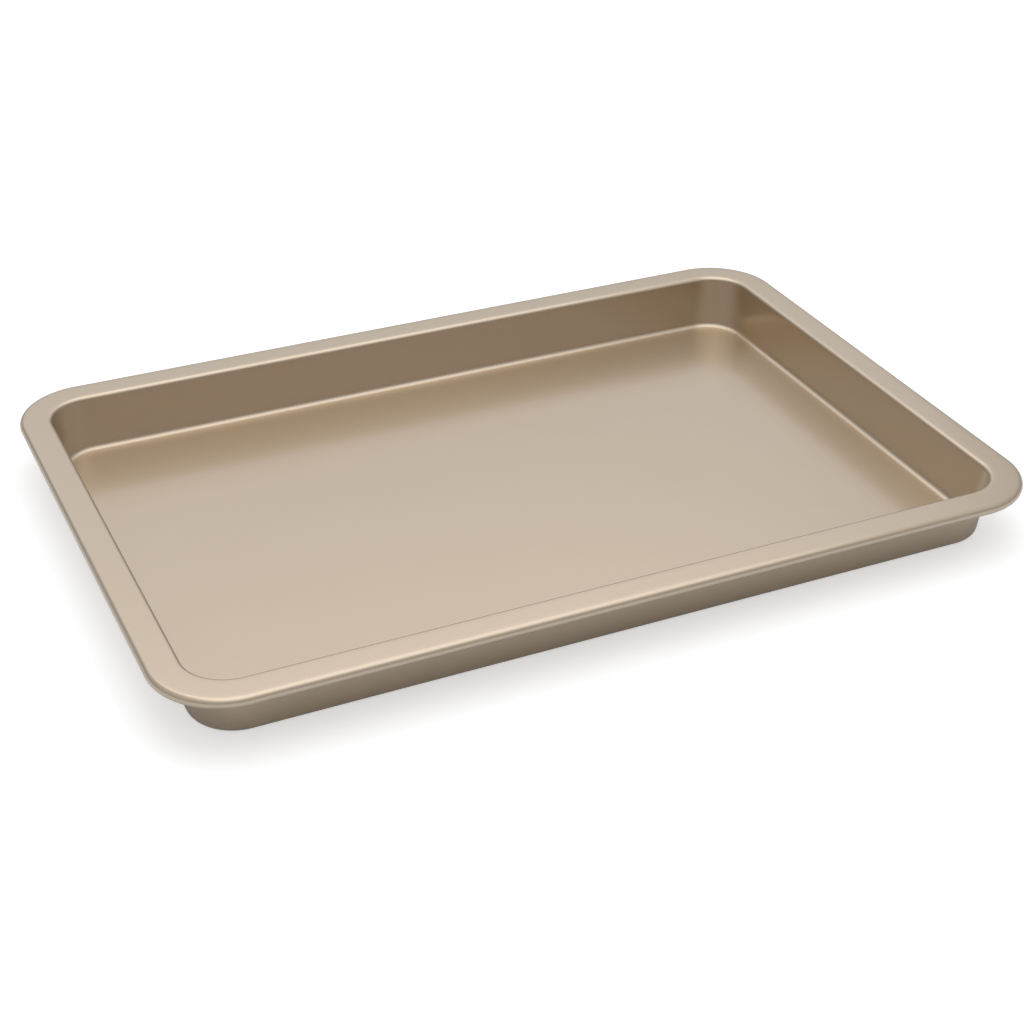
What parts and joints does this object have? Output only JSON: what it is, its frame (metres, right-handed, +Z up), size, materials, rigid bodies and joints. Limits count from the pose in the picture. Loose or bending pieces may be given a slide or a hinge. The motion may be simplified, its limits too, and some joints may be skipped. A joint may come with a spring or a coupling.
{
  "type": "jelly roll pan",
  "caption": "Wide shallow rectangular baking pan with rounded corners, leaning walls and a flat flange whose edge is rolled round a stiffening wire; satin non-stick finish.",
  "frame": {"origin": "centre of the base's underside, on the surface that the pan stands on", "axes": "+X along the long side, +Y along the short side towards the butt of the rim wire, +Z up out of the pan"},
  "size_m": [0.44, 0.302, 0.031],
  "materials": {
    "coated_steel": "satin champagne-gold non-stick coating on pressed steel sheet, inside and out",
    "zinc_wire": "dull galvanised steel wire"
  },
  "bodies": {
    "root": {"pan_body": "coated_steel", "rim_wire": "zinc_wire"}
  },
  "joints": []
}
